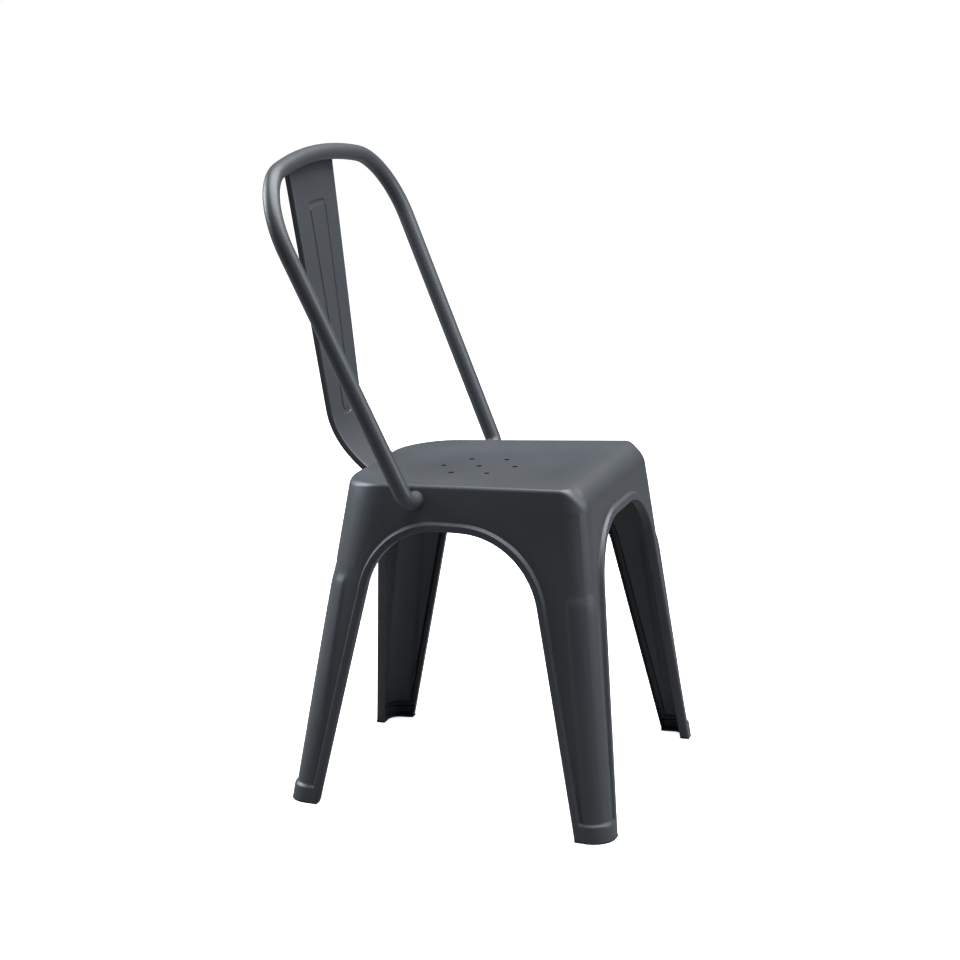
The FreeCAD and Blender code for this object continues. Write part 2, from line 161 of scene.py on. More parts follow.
class ChairBack(bpy.types.PropertyGroup):
    """Sizes of the tube hoop and the slat."""

    tube: length("Tube radius", "Outer radius of the hoop's tube", 0.011)
    hoop_half_width: length("Hoop half width", "Half width at seat level, to the tube's middle", 0.1853)
    hoop_splay: ratio("Hoop splay", "How much the hoop widens upward", 0.102)
    hoop_y: length("Hoop place", "Place of the hoop along the seat, at seat level", 0.0463)
    hoop_lean: ratio("Hoop lean", "Lean of the hoop to the rear", 0.433)
    hoop_corner: length("Hoop corner radius", "Radius of the hoop's upper corners", 0.097)
    hoop_crown: length("Hoop crown radius", "Radius of the hoop's gentle crown", 0.780)
    hoop_top: length("Hoop top", "Height of the chair", 0.851)
    entry_level: length("Entry height", "Height where the tube meets the skirt", 0.413)
    foot_radius: length("Tube foot radius", "Radius of the tube's lower bend", 0.018)
    end_inside: length("Tube end", "Reach of the tube's end inside the skirt", 0.006)
    slat_y: length("Slat place", "Place of the slat's face at seat level, if it ran straight", 0.182)
    slat_lean: ratio("Slat lean", "Lean of the slat to the rear", 0.124)
    slat_top: length("Slat top", "Height of the slat's upper end", 0.833)
    slat_top_width: length("Slat top width", "Width of the slat at the top", 0.153)
    slat_foot_width: length("Slat foot width", "Width of the slat at the seat", 0.099)
    slat_flange: length("Slat flange", "Depth of the folded edges", 0.008)
    fold_radius: length("Fold radius", "Radius of the slat's folded edges", 0.0025)
    bend_level: length("Bend height", "Height where the slat starts to bend forward", 0.505)
    foot_sweep: ratio("Foot sweep", "How far the slat runs on before it curves forward", 0.55)
    loop_top: length("Loop top", "Height of the pressed loop's upper end", 0.7785)
    loop_foot: length("Loop foot", "Height of the pressed loop's lower end", 0.491)
    loop_top_width: length("Loop top width", "Width of the pressed loop at its upper end", 0.061)
    loop_foot_width: length("Loop foot width", "Width of the pressed loop at its lower end", 0.033)
    loop_corner: length("Loop corner radius", "Radius of the pressed loop's corners", 0.012)
    groove_width: length("Groove width", "Width of the loop's groove", 0.007)
    groove_depth: length("Groove depth", "Depth of the loop's groove", 0.0015)
    groove_slope: length("Groove slope", "Width of each sloped wall of the groove", 0.0009)


class ChairLooks(bpy.types.PropertyGroup):
    """Colours of the chair and its stage."""

    coat: colour("Coat", "Colour of the powder coat", "3F4144")
    coat_dark: colour("Coat, darker", "Darker tone of the powder coat's faint clouding", "393B3E")
    rubber: colour("Rubber", "Colour of the glides", "36383B")
    # Near-black painted shade for the drain holes' cut walls, standing in for the shaded hollow under the
    # seat seen through them.
    hole_painted_shade: colour("Hole edge", "Colour of the cut edges of the drain holes", "08080A")
    floor: colour("Floor", "Colour of the floor and backdrop", "FFFFFF")
    floor_bounce: colour("Floor bounce", "Colour with which the floor lights the chair", "868686")
    floor_glow: ratio("Floor glow", "Light the floor sends to the camera over its shadow", 0.75)
    grain: length("Grain", "Size of the powder coat's fine grain", 0.0009)
    peel: length("Peel", "Size of the powder coat's gentle waviness", 0.006)
    cloud: length("Cloud", "Size of the coat's uneven patches", 0.09)


def add_node(tree, kind, place, links=(), **settings):
    """Adds a shader node, sets its inputs and properties and links its inputs.

    A setting in capitals is a property of the node; any other is an input, with _ for a space.
    """
    node = tree.nodes.new(kind)
    node.location = place
    for name, value in settings.items():
        if name.isupper():
            setattr(node, name.lower(), value)
        else:
            node.inputs[name.replace("_", " ")].default_value = value
    for name, source in links:
        tree.links.new(source, node.inputs[name])
    return node


def blank_material(name):
    material = bpy.data.materials.new(name)
    material.use_nodes = True
    material.node_tree.nodes.clear()
    return material


def powder_coat(looks):
    """Matt dark grey powder coat on steel: fine grain, a gentle waviness and faint clouding."""
    material = blank_material("dark_grey_powder_coat")
    tree = material.node_tree
    place = add_node(tree, "ShaderNodeTexCoord", (-900, 0)).outputs["Object"]
    cloud = add_node(
        tree, "ShaderNodeTexNoise", (-700, 200), [("Vector", place)], Scale=1 / looks.cloud, Detail=2.0
    )
    tone = add_node(
        tree,
        "ShaderNodeMixRGB",
        (-480, 260),
        [("Fac", cloud.outputs["Fac"])],
        Color1=looks.coat_dark,
        Color2=looks.coat,
    )
    rough = add_node(
        tree,
        "ShaderNodeMapRange",
        (-480, 60),
        [("Value", cloud.outputs["Fac"])],
        To_Min=0.39,
        To_Max=0.47,
    )
    grain = add_node(
        tree, "ShaderNodeTexNoise", (-700, -120), [("Vector", place)], Scale=1 / looks.grain, Detail=1.0
    )
    peel = add_node(
        tree, "ShaderNodeTexNoise", (-700, -340), [("Vector", place)], Scale=1 / looks.peel, Detail=0.0
    )
    waves = add_node(
        tree,
        "ShaderNodeBump",
        (-480, -340),
        [("Height", peel.outputs["Fac"])],
        Strength=0.10,
        Distance=0.0006,
    )
    bump = add_node(
        tree,
        "ShaderNodeBump",
        (-260, -160),
        [("Height", grain.outputs["Fac"]), ("Normal", waves.outputs["Normal"])],
        Strength=0.25,
        Distance=0.00012,
    )
    shader = add_node(
        tree,
        "ShaderNodeBsdfPrincipled",
        (0, 0),
        [
            ("Base Color", tone.outputs["Color"]),
            ("Roughness", rough.outputs["Result"]),
            ("Normal", bump.outputs["Normal"]),
        ],
    )
    add_node(tree, "ShaderNodeOutputMaterial", (300, 0), [("Surface", shader.outputs["BSDF"])])
    return material


def glide_rubber(looks):
    """Dark grey moulded rubber with a dull, slightly uneven skin."""
    material = blank_material("dark_grey_rubber")
    tree = material.node_tree
    place = add_node(tree, "ShaderNodeTexCoord", (-700, 0)).outputs["Object"]
    skin = add_node(tree, "ShaderNodeTexNoise", (-500, 0), [("Vector", place)], Scale=1 / looks.grain)
    rough = add_node(
        tree, "ShaderNodeMapRange", (-280, 100), [("Value", skin.outputs["Fac"])], To_Min=0.65, To_Max=0.8
    )
    bump = add_node(
        tree,
        "ShaderNodeBump",
        (-280, -140),
        [("Height", skin.outputs["Fac"])],
        Strength=0.3,
        Distance=0.0002,
    )
    shader = add_node(
        tree,
        "ShaderNodeBsdfPrincipled",
        (0, 0),
        [("Roughness", rough.outputs["Result"]), ("Normal", bump.outputs["Normal"])],
        Base_Color=looks.rubber,
    )
    add_node(tree, "ShaderNodeOutputMaterial", (300, 0), [("Surface", shader.outputs["BSDF"])])
    return material


def hole_painted_shade(looks):
    """Near-black, rough material for the drain holes' cut walls: painted shade, standing in for the dark
    hollow seen through each hole.
    """
    material = blank_material("painted_shade_in_holes")
    tree = material.node_tree
    shader = add_node(tree, "ShaderNodeBsdfPrincipled", (0, 0), Base_Color=looks.hole_painted_shade, Roughness=0.9)
    add_node(tree, "ShaderNodeOutputMaterial", (300, 0), [("Surface", shader.outputs["BSDF"])])
    return material


def the_material(name, make):
    """The named material, made on first use."""
    return bpy.data.materials.get(name) or make(bpy.context.scene.chair_looks)


def coat_material():
    return the_material("dark_grey_powder_coat", powder_coat)


def rubber_material():
    return the_material("dark_grey_rubber", glide_rubber)


# Material of painted shade for the drain holes' cut walls.
def hole_shade_material():
    return the_material("painted_shade_in_holes", hole_painted_shade)


def smoothstep(low, high, value):
    """0 below low, 1 above high, and an even S between them."""
    share = min(max((value - low) / (high - low), 0.0), 1.0)
    return share * share * (3 - 2 * share)


def spaced(low, high, count):
    """count values from low to high, both ends included."""
    return [low + (high - low) * i / (count - 1) for i in range(count)]


class Body:
    """The chair's body as a surface: where its sides, ends and corners run at each height."""

    def __init__(self, sizes):
        self.s = sizes

    def blend(self, low, high, z):
        return low + (high - low) * z / self.s.seat_level

    def end_line(self, rear, z):
        """Place of the front or rear face, along Y."""
        s = self.s
        if rear:
            return self.blend(s.floor_rear, s.seat_rear, z)
        return -self.blend(s.floor_front, s.seat_front, z)

    def side_at(self, y, z):
        """Half width at a place along the side."""
        s = self.s
        low = s.floor_half_width - s.floor_side_taper * (y + s.floor_front)
        high = s.seat_half_width - s.seat_side_taper * (y + s.seat_front)
        return self.blend(low, high, z)

    def side_taper(self, z):
        return self.blend(self.s.floor_side_taper, self.s.seat_side_taper, z)

    def corner_radius(self, rear, z):
        s = self.s
        return self.blend(s.floor_corner, s.rear_corner if rear else s.front_corner, z)

    def rim_at(self, y):
        s = self.s
        return s.rim_height - s.rim_slope * (y - s.rim_middle)


class Corner:
    """One rounded corner of the body in plan, for the quadrant X > 0, at one height."""

    def __init__(self, body, rear, z, side_in=0.0, end_in=0.0, radius=None):
        self.sign = 1 if rear else -1
        taper = body.side_taper(z)
        y = body.end_line(rear, z) - self.sign * end_in
        x = body.side_at(y, z) - side_in
        self.point = Vector((x, y))
        self.to_side = Vector((self.sign * taper, -self.sign)).normalized()
        self.to_end = Vector((-1.0, 0.0))
        self.stretch = math.hypot(1, taper)
        self.radius = body.corner_radius(rear, z) if radius is None else radius
        opening = self.to_side.angle(self.to_end)
        self.turn = (math.pi - opening) / 2
        self.reach = self.radius / math.tan(opening / 2)
        middle = (self.to_side + self.to_end).normalized()
        self.centre = self.point + middle * (self.radius / math.sin(opening / 2))
        self.outward = -middle

    def around(self, share, out=0.0):
        """Point on the corner's arc, from -1 at the end face to 1 at the side face."""
        angle = share * self.turn * -self.sign
        normal = Matrix.Rotation(angle, 2) @ self.outward
        return self.centre + normal * (self.radius + out)


class Face:
    """One pressed half face of a leg, laid out flat.

    t runs along the face towards the middle seam and z is the height. The arch
    between the legs is bounded by a leaning leg line, an arc and a crown line.
    """

    def __init__(self, body, legs, rear, side):
        self.body = body
        self.legs = legs
        self.rear = rear
        self.side = side
        self.sign = 1 if rear else -1
        if side:
            self.seam = -self.sign * legs.side_seam
            start = -(legs.side_rear if rear else legs.side_front)
            lean = legs.side_rear_lean if rear else legs.side_front_lean
            crown = legs.side_crown
            self.radius = legs.side_rear_radius if rear else legs.side_front_radius
        else:
            self.seam = 0.0
            start = -(legs.rear_half if rear else legs.front_half)
            lean = legs.rear_lean if rear else legs.front_lean
            crown = legs.rear_crown if rear else legs.front_crown
            self.radius = legs.rear_radius if rear else legs.front_radius
        self.start = start
        self.lean = lean
        self.peak = Vector((start + lean * crown, crown))
        self.down = Vector((-lean, -1)).normalized()
        along = Vector((1, 0))
        opening = self.down.angle(along)
        middle = (self.down + along).normalized()
        self.centre = self.peak + middle * (self.radius / math.sin(opening / 2))
        self.leg_normal = Vector((self.down.y, -self.down.x))
        self.arc_foot = self.peak + self.down * (self.radius / math.tan(opening / 2))
        self.turn = math.pi - opening

    def corner(self, z):
        return Corner(self.body, self.rear, z)

    def from_arch(self, t, z):
        """Distance from the arch's edge into the sheet."""
        place = Vector((t, z))
        off = place - self.centre
        if off.dot(self.down) > 0:
            return (place - self.peak).dot(self.leg_normal)
        if off.x > 0:
            return z - self.peak.y
        return off.length - self.radius

    def tangent(self, corner):
        """t where the flat face runs into the corner's arc."""
        if self.side:
            return self.sign * -(corner.point.y + corner.to_side.y * corner.reach)
        return -(corner.point.x - corner.reach)

    def middle(self, z):
        """t of the corner's middle, with the arc laid out flat."""
        corner = self.corner(z)
        stretch = corner.stretch if self.side else 1.0
        return self.tangent(corner) - corner.radius * corner.turn / stretch

    def on_arc(self, share):
        """Point of the arch's arc, from 0 at the leg line to 1 at the crown line."""
        normal = Matrix.Rotation(-self.turn * share, 2) @ self.leg_normal
        return self.centre + normal * self.radius

    def place(self, t, z, out):
        """Point in space for a place on the flat layout, raised outward by out."""
        corner = self.corner(z)
        tangent = self.tangent(corner)
        if t < tangent:
            stretch = corner.stretch if self.side else 1.0
            share = 1 - (tangent - t) * stretch / (corner.radius * corner.turn)
            x, y = corner.around(max(share, 0.0) * (1 if self.side else -1), out)
        elif self.side:
            y = -self.sign * t
            normal = Vector((-corner.to_side.y, corner.to_side.x)) * self.sign
            x, y = Vector((self.body.side_at(y, z), y)) + normal * out
        else:
            x = -t
            y = self.body.end_line(self.rear, z) + self.sign * out
        return Vector((x, y, z))

    def top(self, t):
        """Height of the seam under the seat's skirt."""
        z = self.body.rim_at(0) - self.body.s.skirt_depth
        for _ in range(2):
            z = self.body.rim_at(self.place(t, z, 0).y) - self.body.s.skirt_depth
        return z

    def raised(self, t, z):
        """Height of the pressed forms over the plain sheet."""
        legs = self.legs
        distance = self.from_arch(t, z)
        bead = 1 - smoothstep(legs.bead_width - legs.bead_slope, legs.bead_width, distance)
        band = 1 - smoothstep(legs.band_top - legs.band_ledge, legs.band_top, z)
        corner = self.corner(z)
        reach = t - self.tangent(corner) + corner.reach
        half = legs.rib_slope / 2
        rib = 1 - smoothstep(legs.rib_reach - half, legs.rib_reach + half, reach)
        rib *= 1 - smoothstep(legs.rib_top - legs.rib_slope, legs.rib_top + legs.rib_slope, z)
        return max(bead * legs.bead_proud, band * legs.bead_proud, rib * legs.rib_proud)

    def rays(self):
        """Pairs of flat places, on the arch's edge and across the face from it."""
        legs = self.legs
        ledge = legs.band_top - legs.band_ledge
        levels = spaced(legs.foot_level, ledge - 1.5 * MM, 5) + spaced(ledge, legs.band_top + MM, 8)
        levels += spaced(legs.band_top + 4 * MM, self.arc_foot.y, 26)
        pairs = []
        for z in levels:
            pairs.append((Vector((self.start + self.lean * z, z)), Vector((self.middle(z), z))))
        corner_z = self.top(self.middle(self.body.s.seat_level))
        near_rib = 8 * MM
        fan = [self.arc_foot.y]
        for stop, count in ((legs.rib_top - near_rib, 4), (legs.rib_top + near_rib, 12), (corner_z, 12)):
            if stop > fan[-1]:
                fan += spaced(fan[-1], stop, count)[1:]
        for z in fan[1:]:
            share = (z - fan[0]) / (corner_z - fan[0])
            pairs.append((self.on_arc(share / 2), Vector((self.middle(z), z))))
        edge = [self.on_arc(share) for share in spaced(0.5, 1.0, 12)[1:]]
        arc_end = edge[-1]
        edge += [Vector((t, arc_end.y)) for t in spaced(arc_end.x, self.seam, 5)[1:]]
        corner_t = self.middle(corner_z)
        for i, place in enumerate(edge, 1):
            ease = (place.x - edge[0].x) / (self.seam - edge[0].x)
            t = corner_t + (self.seam - corner_t) * (SEAM_EVENLY * i / len(edge) + SEAM_BY_EDGE * ease)
            pairs.append((place, Vector((t, self.top(t)))))
        return pairs

    def columns(self, near, far):
        """Shares along a ray: dense over the bead and the rib's edge."""
        span = (far - near).length
        first, last = BEAD_COLUMNS[0] * MM, BEAD_COLUMNS[-1] * MM
        probe = near.lerp(far, first / span)
        slant = max(self.from_arch(probe.x, probe.y) / first, 0.3)
        scale = min(1 / slant, 0.7 * span / last)
        places = [b * MM * scale for b in BEAD_COLUMNS]
        corner = self.corner(far.y)
        rib = span - self.legs.rib_reach + corner.reach - corner.radius * corner.turn
        base = places[-1]
        if rib < base + 3 * MM or far.y > self.legs.rib_top + 20 * MM:
            rib = base + (span - base) * 0.35
        width = min(self.legs.rib_slope / 2, 0.4 * (rib - base), 0.2 * (span - rib))
        places += [rib + width * k for k in (-1, -0.5, 0, 0.5)]
        places += spaced(rib + width, span, 7)
        return [p / span for p in places]

    def grid(self):
        """Rows of points, from the lip's free edge to the corner or the upper seam."""
        legs = self.legs
        radius = legs.edge_radius
        rows = []
        for near, far in self.rays():
            row = [
                self.place(near.x, near.y, legs.bead_proud - legs.lip_depth),
                self.place(near.x, near.y, (legs.bead_proud - legs.lip_depth) / 2),
                self.place(near.x, near.y, legs.bead_proud - radius),
            ]
            across = (far - near).normalized()
            for angle in (60, 30, 0):
                a = math.radians(angle)
                spot = near + across * (radius * (1 - math.sin(a)))
                out = legs.bead_proud - radius * (1 - math.cos(a))
                row.append(self.place(spot.x, spot.y, out))
            for share in self.columns(near, far):
                spot = near.lerp(far, share)
                row.append(self.place(spot.x, spot.y, self.raised(spot.x, spot.y)))
            rows.append(row)
        return rows


def grid_faces(rows, columns, first=0, closed=False):
    """Quads over a grid of vertices stored row by row."""
    faces = []
    for i in range(rows - 1):
        for j in range(columns if closed else columns - 1):
            k = (j + 1) % columns
            a = first + i * columns
            b = a + columns
            faces.append((a + j, a + k, b + k, b + j))
    return faces


def smooth_by_angle(mesh, degrees=38):
    """Smooth shading that keeps edges sharper than the angle."""
    mesh.shade_smooth()
    mesh.set_sharp_from_angle(angle=math.radians(degrees))


def new_piece(name, points, faces, material, slot, *nodes):
    """Mesh object that rides on the chair and stands for the named nodes."""
    mesh = bpy.data.meshes.new(name)
    mesh.from_pydata([tuple(p) for p in points], [], faces)
    shape = bmesh.new()
    shape.from_mesh(mesh)
    bmesh.ops.remove_doubles(shape, verts=shape.verts, dist=WELD_DISTANCE)
    bmesh.ops.recalc_face_normals(shape, faces=shape.faces)
    shape.to_mesh(mesh)
    shape.free()
    mesh.materials.append(material)
    piece = bpy.data.objects.new(name, mesh)
    bpy.context.scene.collection.objects.link(piece)
    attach(piece, ROOT)
    if nodes:
        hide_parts(*nodes)
    return piece


def bake(piece):
    """Applies the piece's modifiers to its mesh."""
    graph = bpy.context.evaluated_depsgraph_get()
    mesh = bpy.data.meshes.new_from_object(piece.evaluated_get(graph))
    piece.modifiers.clear()
    piece.data = mesh
    smooth_by_angle(mesh)


def outward(piece, inside):
    """Turns the faces of an open sheet so that they look away from a point."""
    mesh = piece.data
    total = 0.0
    for face in mesh.polygons:
        total += face.normal.dot(face.center - inside) * face.area
    if total < 0:
        mesh.flip_normals()


def thicken(piece, sheet):
    """Gives an open sheet its thickness, inward from the surface."""
    solid = piece.modifiers.new("thickness", "SOLIDIFY")
    solid.thickness = sheet
    solid.offset = -1
    solid.use_even_offset = True


class CHAIR_OT_legs(bpy.types.Operator):
    """Four pressed legs, each with half of the arches beside it"""

    bl_idname = "chair.legs"
    bl_label = "Legs"

    def execute(self, context):
        body = Body(context.scene.chair_body)
        legs = context.scene.chair_legs
        for rear, end in ((False, "front"), (True, "rear")):
            points = []
            faces = []
            for side in (True, False):
                rows = Face(body, legs, rear, side).grid()
                faces += grid_faces(len(rows), len(rows[0]), len(points))
                points += [p for row in rows for p in row]
            for sign, hand in ((1, "left"), (-1, "right")):
                turned = [(sign * p.x, p.y, p.z) for p in points]
                node = f"leg_{end}_{hand}"
                piece = new_piece(f"pressed_{node}", turned, faces, coat_material(), "frame_coat", node)
                outward(piece, Vector((0, 0, 0.2)))
                thicken(piece, context.scene.chair_body.sheet)
                bake(piece)
        return {"FINISHED"}


class CHAIR_OT_glides(bpy.types.Operator):
    """Rubber glides in the open ends of the feet"""

    bl_idname = "chair.glides"
    bl_label = "Glides"

    def execute(self, context):
        for name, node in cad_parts.items():
            if name.startswith("foot_glide"):
                node.data.materials.clear()
                node.data.materials.append(rubber_material())
        return {"FINISHED"}


class CHAIR_OT_brace(bpy.types.Operator):
    """Crossed flat bars under the seat"""

    bl_idname = "chair.brace"
    bl_label = "Brace"

    def execute(self, context):
        for name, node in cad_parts.items():
            if name.startswith("brace_bar"):
                node.data.materials.clear()
                node.data.materials.append(coat_material())
        return {"FINISHED"}


def seat_outline(body, z_of_y, side_in=0, front_in=0, rear_in=0, front_radius=None, rear_radius=None):
    """Closed outline on a tilted plane, as points in the same order at every inset.

    A corner radius that isn't given is the body's own at that height.
    """
    points = []
    for sign, rear in ((1, False), (1, True), (-1, True), (-1, False)):
        z = z_of_y(body.end_line(rear, body.s.seat_level))
        end_in = rear_in if rear else front_in
        radius = rear_radius if rear else front_radius
        corner = Corner(body, rear, z, side_in, end_in, radius)
        forward = sign * (-1 if rear else 1)
        shares = spaced(-1.0, 1.0, 15)
        arc = []
        for share in shares[:: 1 if forward > 0 else -1]:
            level = z_of_y(corner.around(share).y)
            spot = Corner(body, rear, level, side_in, end_in, radius).around(share)
            arc.append((sign * spot.x, spot.y))
        points.append(arc)
    closed = []
    for i, arc in enumerate(points):
        closed += arc
        start = Vector(arc[-1])
        end = Vector(points[(i + 1) % 4][0])
        closed += [start.lerp(end, share) for share in spaced(0, 1, 8)[1:-1]]
    return [Vector((p[0], p[1], z_of_y(p[1]))) for p in closed]


def under_rim(body, drop):
    """Height on a plane that lies below the seat's rim, for each place along Y."""
    return lambda y: body.rim_at(y) - drop


class CHAIR_OT_seat(bpy.types.Operator):
    """Pressed seat with its skirt, rounded edge, shallow dish and drain holes"""

    bl_idname = "chair.seat"
    bl_label = "Seat"

    def execute(self, context):
        body = Body(context.scene.chair_body)
        seat = context.scene.chair_seat
        rings = self.edge(body, seat) + self.dish(body, seat)
        count = len(rings[0])
        points = [p for ring in rings for p in ring]
        faces = grid_faces(len(rings), count, closed=True)
        faces.append(tuple(range(len(points) - count, len(points))))
        piece = new_piece("pressed_seat", points, faces, coat_material(), "seat_coat", "seat_pan")
        outward(piece, Vector((0, 0, 0.35)))
        thicken(piece, body.s.sheet)
        self.drill(piece, body, seat)
        return {"FINISHED"}

    def edge(self, body, seat):
        """Outlines up the skirt and over the rounded edge, whose radius changes all round."""
        s = body.s
        seam = seat_outline(body, under_rim(body, s.skirt_depth))
        rim = seat_outline(body, under_rim(body, 0))
        rings = [seam]
        front = min(p.y for p in rim)
        rear = max(p.y for p in rim)
        for angle in spaced(0, math.pi / 2, 10):
            ring = []
            for i, spot in enumerate(rim):
                radius = seat.side_edge
                near_front = 1 - smoothstep(0, s.front_corner, spot.y - front)
                near_rear = 1 - smoothstep(0, s.rear_corner * 0.9, rear - spot.y)
                radius += (seat.front_edge - seat.side_edge) * near_front
                radius += (seat.rear_edge - seat.side_edge) * near_rear
                along = rim[(i + 1) % len(rim)] - rim[i - 1]
                inward = Vector((-along.y, along.x, 0)).normalized()
                drop = radius * (1 - math.sin(angle))
                wall = spot.lerp(seam[i], drop / s.skirt_depth)
                wall += inward * (radius * (1 - math.cos(angle)))
                ring.append(Vector((wall.x, wall.y, body.rim_at(wall.y) - drop)))
            rings.append(ring)
        return rings

    def dish(self, body, seat):
        """Outlines from the rim down the dish's slope to its flat floor."""
        s = body.s
        rings = []
        for share in spaced(0, 1, 13):
            run = seat.dish_run * share
            rings.append(
                seat_outline(
                    body,
                    under_rim(body, seat.dish_depth * smoothstep(0, 1, share)),
                    seat.side_edge + seat.rim_flat + run,
                    seat.front_edge + seat.rim_flat + run,
                    seat.rear_edge + seat.rear_rim_flat + run,
                    s.front_corner,
                    s.rear_corner - (seat.rear_edge + run) / 2,
                )
            )
        return rings

    def drill(self, piece, body, seat):
        """Cuts the drain holes: one in the middle and a circle round it."""
        spots = [(0.0, 0.0)]
        for i in range(seat.hole_count):
            angle = i * math.tau / seat.hole_count
            spots.append((seat.hole_pitch * math.sin(angle), seat.hole_pitch * math.cos(angle)))
        drills = bmesh.new()
        for x, y in spots:
            centre = Vector((x, y + body.s.rim_middle, body.rim_at(y) - seat.dish_depth))
            bmesh.ops.create_cone(
                drills,
                cap_ends=True,
                segments=32,
                radius1=seat.hole_radius,
                radius2=seat.hole_radius,
                depth=DRILL_DEPTH,
                matrix=Matrix.Translation(centre),
            )
        mesh = bpy.data.meshes.new("drills")
        drills.to_mesh(mesh)
        drills.free()
        # The boolean's material transfer gives the cut walls this near-black painted shade.
        mesh.materials.append(hole_shade_material())
        tool = bpy.data.objects.new("drills", mesh)
        bpy.context.scene.collection.objects.link(tool)
        cut = piece.modifiers.new("holes", "BOOLEAN")
        cut.operation = "DIFFERENCE"
        cut.solver = "EXACT"
        cut.material_mode = "TRANSFER"
        cut.object = tool
        bake(piece)
        bpy.data.objects.remove(tool)


def hoop_line(body, back):
    """Points and directions of the tube's centre line, from one end to the other."""
    stretch = math.hypot(1, back.hoop_lean)
    splay = back.hoop_splay / stretch
    level = body.s.seat_level

    def in_plane(x, d):
        return Vector((x, back.hoop_y + back.hoop_lean * d / stretch, level + d / stretch))

    top = (back.hoop_top - back.tube - level) * stretch
    centre_d = top - back.hoop_crown
    wide = math.hypot(1, splay)
    k = back.hoop_half_width - back.hoop_corner * wide
    a = splay * splay + 1
    b = 2 * (splay * k - centre_d)
    c = k * k + centre_d**2 - (back.hoop_crown - back.hoop_corner) ** 2
    corner_d = (-b + math.sqrt(b * b - 4 * a * c)) / (2 * a)
    corner_x = k + splay * corner_d

    def around_corner(angle):
        x = corner_x + back.hoop_corner * math.cos(angle)
        return in_plane(x, corner_d + back.hoop_corner * math.sin(angle))

    tilt = math.atan2(-splay, 1)
    reach = math.atan2(corner_d - centre_d, corner_x)
    drop = back.entry_level - level
    entry = Vector((back.hoop_half_width, back.hoop_y, level))
    entry += Vector((back.hoop_splay, back.hoop_lean, 1)) * drop
    low = around_corner(tilt)
    up = (low - entry).normalized()
    inward = Vector((-1, 0, 0))
    half = up.angle(inward) / 2
    leg = back.foot_radius / math.tan(half)
    bisector = (up + inward).normalized()
    centre = entry + bisector * (back.foot_radius / math.sin(half))
    foot_in = entry + inward * leg
    foot_up = entry + up * leg
    end = Vector((body.side_at(entry.y, entry.z) - back.end_inside, entry.y, entry.z))
    line = [end, foot_in]
    first = foot_in - centre
    last = foot_up - centre
    axis = first.cross(last).normalized()
    turn = first.angle(last)
    for share in spaced(0, 1, 12)[1:]:
        line.append(centre + Matrix.Rotation(turn * share, 3, axis) @ first)
    for share in spaced(0, 1, 14)[1:-1]:
        line.append(foot_up.lerp(low, share))
    line += [around_corner(angle) for angle in spaced(tilt, reach, 26)]
    for angle in spaced(reach, math.pi / 2, 12)[1:]:
        across = back.hoop_crown * math.cos(angle)
        line.append(in_plane(across, centre_d + back.hoop_crown * math.sin(angle)))
    return line + [Vector((-p.x, p.y, p.z)) for p in line[-2::-1]]


class CHAIR_OT_hoop(bpy.types.Operator):
    """Bent round tube of the back"""

    bl_idname = "chair.hoop"
    bl_label = "Back hoop"

    def execute(self, context):
        body = Body(context.scene.chair_body)
        back = context.scene.chair_back
        line = hoop_line(body, back)
        round_count = 40
        points = []
        side = Vector((0, 1, 0))
        for i, spot in enumerate(line):
            ahead = (line[min(i + 1, len(line) - 1)] - line[max(i - 1, 0)]).normalized()
            side = (side - ahead * side.dot(ahead)).normalized()
            other = ahead.cross(side)
            for j in range(round_count):
                angle = math.tau * j / round_count
                points.append(spot + (side * math.cos(angle) + other * math.sin(angle)) * back.tube)
        faces = grid_faces(len(line), round_count, closed=True)
        faces.append(tuple(range(round_count)))
        faces.append(tuple(range(len(points) - round_count, len(points))))
        piece = new_piece("bent_tube", points, faces, coat_material(), "frame_coat", "back_hoop")
        smooth_by_angle(piece.data)
        return {"FINISHED"}


